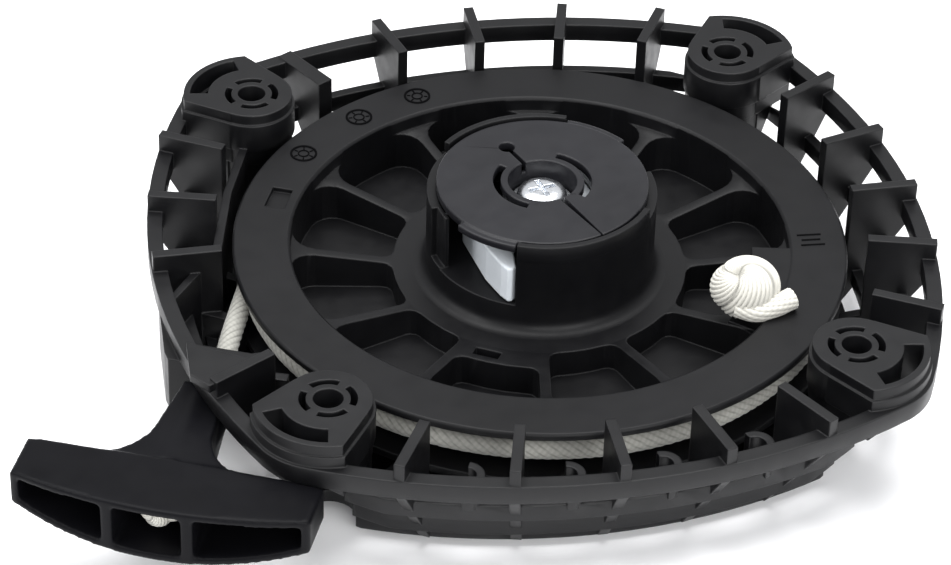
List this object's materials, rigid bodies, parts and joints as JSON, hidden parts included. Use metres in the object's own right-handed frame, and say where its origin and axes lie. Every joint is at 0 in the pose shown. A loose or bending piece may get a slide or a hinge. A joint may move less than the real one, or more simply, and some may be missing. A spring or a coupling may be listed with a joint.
{
  "type": "recoil starter",
  "caption": "Pull-cord recoil starter for a small engine: rounded square finned housing, spoked rope reel with a pawl hub under a round retainer plate, rope, and T-shaped pull handle.",
  "frame": {"origin": "centre of the square of mounting holes, on the plane of the boss faces, which is also the reel's axis", "axes": "+Z along the reel axis towards the engine, +X to the right and +Y to the rear when the rope leaves at the front left"},
  "size_m": [0.1795, 0.1484, 0.038],
  "materials": {
    "housing_plastic": "satin moulded nylon, glass filled",
    "reel_plastic": "satin moulded nylon, glass filled",
    "plate_plastic": "smooth satin acetal",
    "handle_plastic": "satin moulded",
    "white_nylon": "natural nylon",
    "rope": "twisted cord",
    "zinc_steel": "bright zinc plate",
    "spring_steel": "blued strip",
    "insert_brass": "turned"
  },
  "bodies": {
    "housing": {"starter_housing": "housing_plastic", "post_insert": "insert_brass", "rope_eyelet": "zinc_steel", "spring_case": "zinc_steel", "spring_cover": "zinc_steel", "recoil_spring": "spring_steel", "thrust_washer": "zinc_steel", "centre_screw": "zinc_steel", "rope_lead": "rope"},
    "reel": {"rope_reel": "reel_plastic", "reel_knot": "rope", "rope_winding": "rope", "pawl_spring_front": "spring_steel", "pawl_spring_rear": "spring_steel"},
    "front_pawl": {"pawl_front": "white_nylon"},
    "rear_pawl": {"pawl_rear": "white_nylon"},
    "retainer": {"retainer_plate": "plate_plastic", "brake_spring": "spring_steel"},
    "handle": {"pull_handle": "handle_plastic", "handle_rope": "rope", "handle_knot": "rope"}
  },
  "joints": [
    {"name": "reel_spin", "type": "hinge", "parent": "housing", "child": "reel", "pos_m": [0, 0, -0.012], "axis": [0, 0, 1], "range_deg": [0, 1000], "stiffness_Nm_per_rad": 0.012, "springref_deg": -343.77},
    {"name": "handle_pull", "type": "slide", "parent": "housing", "child": "handle", "axis": [-0.4067, -0.9135, 0], "range_m": [0, 0.921]},
    {"name": "retainer_lag", "type": "hinge", "parent": "reel", "child": "retainer", "pos_m": [0, 0, 0.006], "axis": [0, 0, 1], "range_deg": [-28, 0]},
    {"name": "front_pawl_swing", "type": "hinge", "parent": "reel", "child": "front_pawl", "pos_m": [-0.01147, 0.0008, 0], "axis": [0, 0, 1], "range_deg": [-28, 0]},
    {"name": "rear_pawl_swing", "type": "hinge", "parent": "reel", "child": "rear_pawl", "pos_m": [0.01147, -0.0008, 0], "axis": [0, 0, 1], "range_deg": [-28, 0]}
  ],
  "couplings": [
    {"joint": "handle_pull", "follows": "reel_spin", "m_per_rad": 0.0527},
    {"joint": "front_pawl_swing", "follows": "retainer_lag", "ratio": 1},
    {"joint": "rear_pawl_swing", "follows": "retainer_lag", "ratio": 1}
  ]
}
